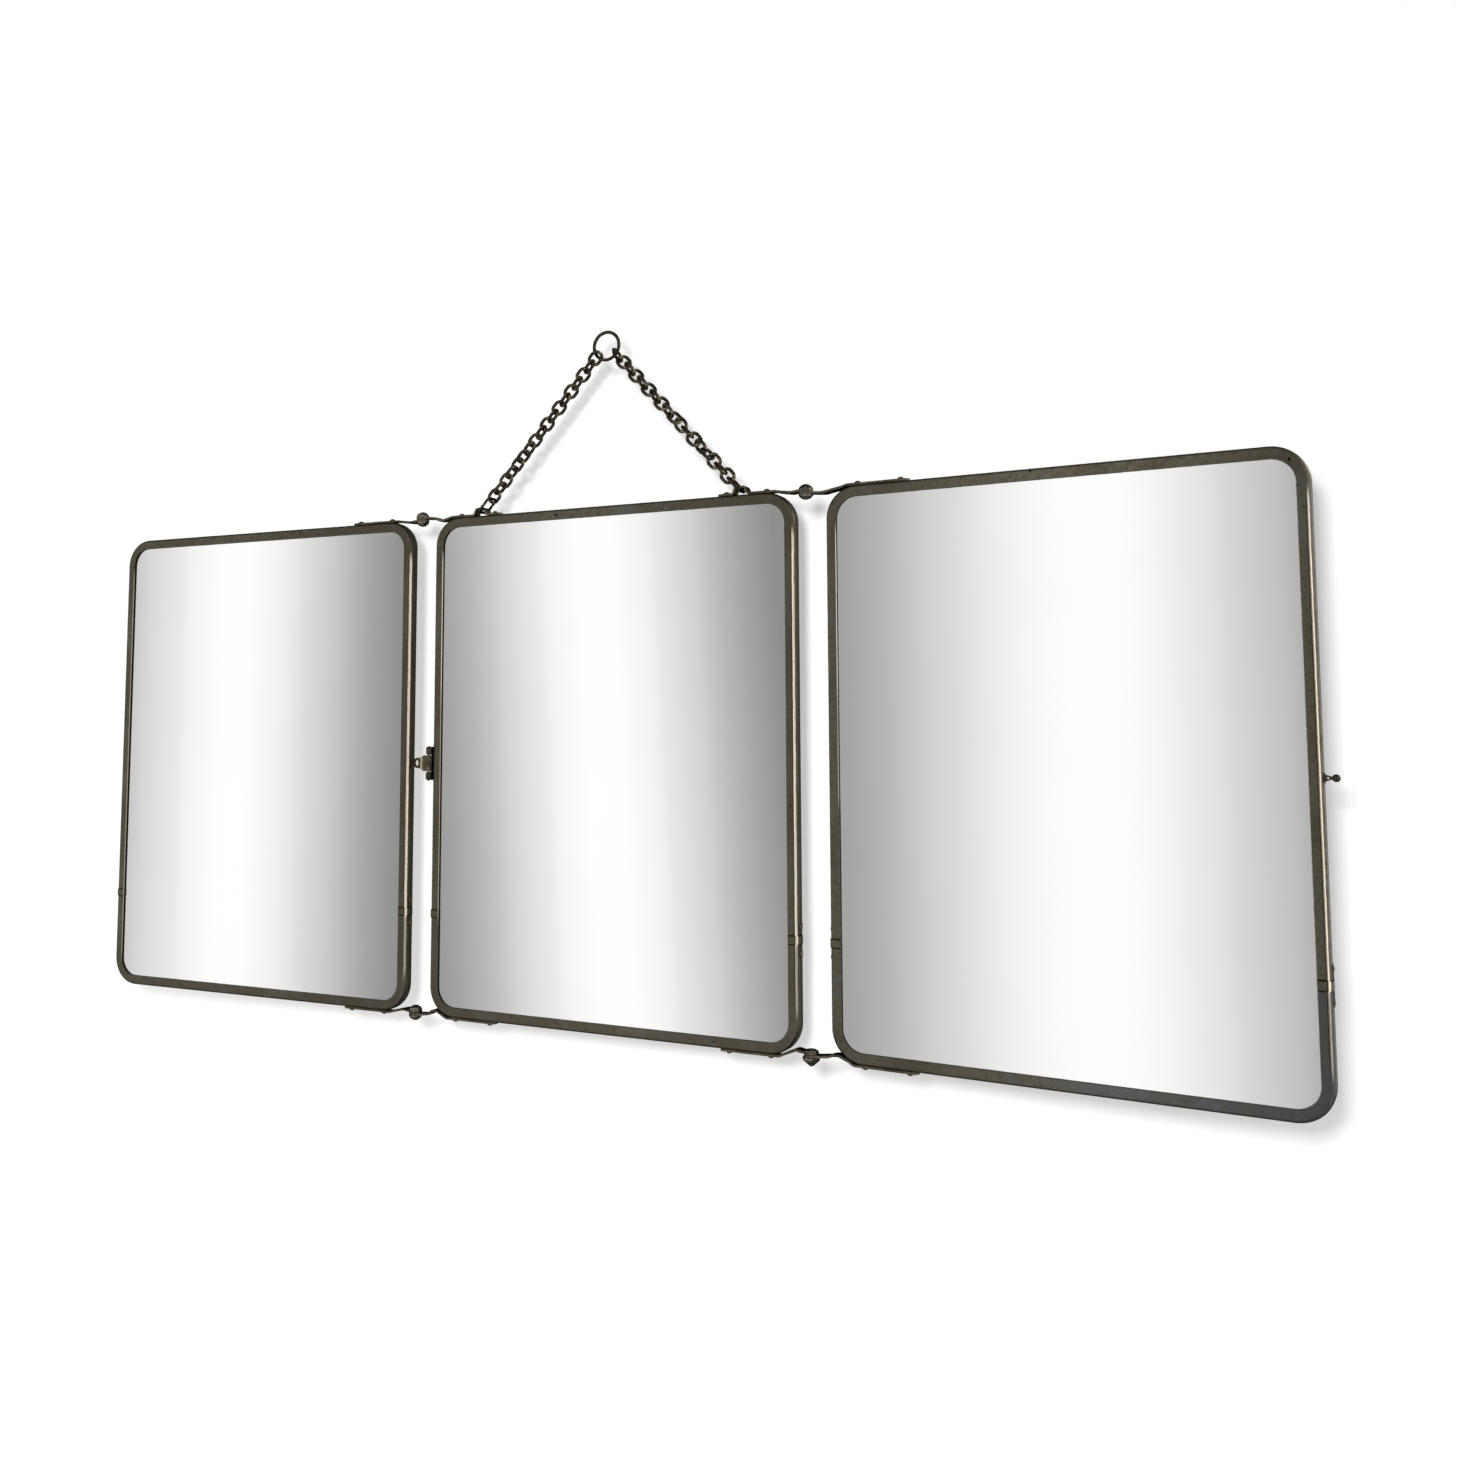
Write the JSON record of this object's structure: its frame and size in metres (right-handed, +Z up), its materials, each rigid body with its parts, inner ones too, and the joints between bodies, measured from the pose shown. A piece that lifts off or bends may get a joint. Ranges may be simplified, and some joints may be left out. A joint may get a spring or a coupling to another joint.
{
  "type": "folding wall mirror",
  "caption": "Antique folding wall mirror: framed mirror panels joined by strap hinges with ball finials, hung on a wire chain from a ring, with a hasp and knob to hold it shut.",
  "frame": {"origin": "centre of the hanging ring", "axes": "+X to the viewer's right along the centre panel, +Y from the viewer into the wall, +Z up"},
  "size_m": [0.7637, 0.0262, 0.4128],
  "materials": {
    "channel_metal": "tarnished nickel plate on brass, dull satin",
    "hinge_metal": "dark tarnish with worn high spots",
    "chain_wire": "dark tarnish, rubbed bright where links touch",
    "worn_brass": "dull, with a rubbed yellow bend",
    "worn_fastener": "rubbed, satin",
    "mirror_glass": "old silvered glass, clean",
    "packing_paper": "matt",
    "backing_board": "matt brown strawboard"
  },
  "bodies": {
    "centre_mirror": {"bottom_left_pivot_nut": "hinge_metal", "bottom_left_pivot_pin": "hinge_metal", "bottom_right_pivot_nut": "hinge_metal", "bottom_right_pivot_pin": "hinge_metal", "centre_backing_board": "backing_board", "centre_bottom_left_strap": "hinge_metal", "centre_bottom_right_strap": "hinge_metal", "centre_glass": "mirror_glass", "centre_joint_clips": "channel_metal", "centre_joint_screws": "worn_fastener", "centre_lower_frame": "channel_metal", "centre_packing_sheet": "packing_paper", "centre_strap_rivets": "hinge_metal", "centre_top_left_strap": "hinge_metal", "centre_top_right_strap": "hinge_metal", "centre_upper_frame": "channel_metal", "hasp_base": "hinge_metal", "hasp_pin": "hinge_metal", "hasp_screws": "worn_fastener", "top_left_pivot_nut": "hinge_metal", "top_left_pivot_pin": "hinge_metal", "top_right_pivot_nut": "hinge_metal", "top_right_pivot_pin": "hinge_metal"},
    "right_wing": {"catch_knob": "hinge_metal", "right_backing_board": "backing_board", "right_bottom_strap": "hinge_metal", "right_glass": "mirror_glass", "right_joint_clips": "channel_metal", "right_joint_screws": "worn_fastener", "right_lower_frame": "channel_metal", "right_packing_sheet": "packing_paper", "right_strap_rivets": "hinge_metal", "right_top_strap": "hinge_metal", "right_upper_frame": "channel_metal"},
    "hook_ring": {"hanging_ring": "chain_wire"},
    "hasp": {"hasp_tongue": "worn_brass"},
    "left_wing": {"left_backing_board": "backing_board", "left_bottom_strap": "hinge_metal", "left_glass": "mirror_glass", "left_joint_clips": "channel_metal", "left_joint_screws": "worn_fastener", "left_lower_frame": "channel_metal", "left_packing_sheet": "packing_paper", "left_strap_rivets": "hinge_metal", "left_top_strap": "hinge_metal", "left_upper_frame": "channel_metal"},
    "chain": {"left_chain_links": "chain_wire", "left_end_link": "chain_wire", "right_chain_links": "chain_wire", "right_end_link": "chain_wire"}
  },
  "joints": [
    {"name": "chain_swing", "type": "hinge", "parent": "hook_ring", "child": "chain", "pos_m": [0, 0, -0.00537], "axis": [-1, 0, 0], "range_deg": [-8, 8]},
    {"name": "panel_swing", "type": "hinge", "parent": "chain", "child": "centre_mirror", "pos_m": [0, 0, -0.09417], "axis": [-1, 0, 0], "range_deg": [-5, 5]},
    {"name": "left_wing_fold", "type": "hinge", "parent": "centre_mirror", "child": "left_wing", "pos_m": [-0.129, -0.00475, -0.24842], "axis": [0, 0, 1], "range_deg": [-1.8, 178.2]},
    {"name": "right_wing_fold", "type": "hinge", "parent": "centre_mirror", "child": "right_wing", "pos_m": [0.129, -0.0089, -0.24842], "axis": [0, 0, -1], "range_deg": [-3.9, 176.1]},
    {"name": "hasp_swing", "type": "hinge", "parent": "centre_mirror", "child": "hasp", "pos_m": [-0.1221, -0.00435, -0.24842], "axis": [0, 0, 1], "range_deg": [0, 110]}
  ]
}
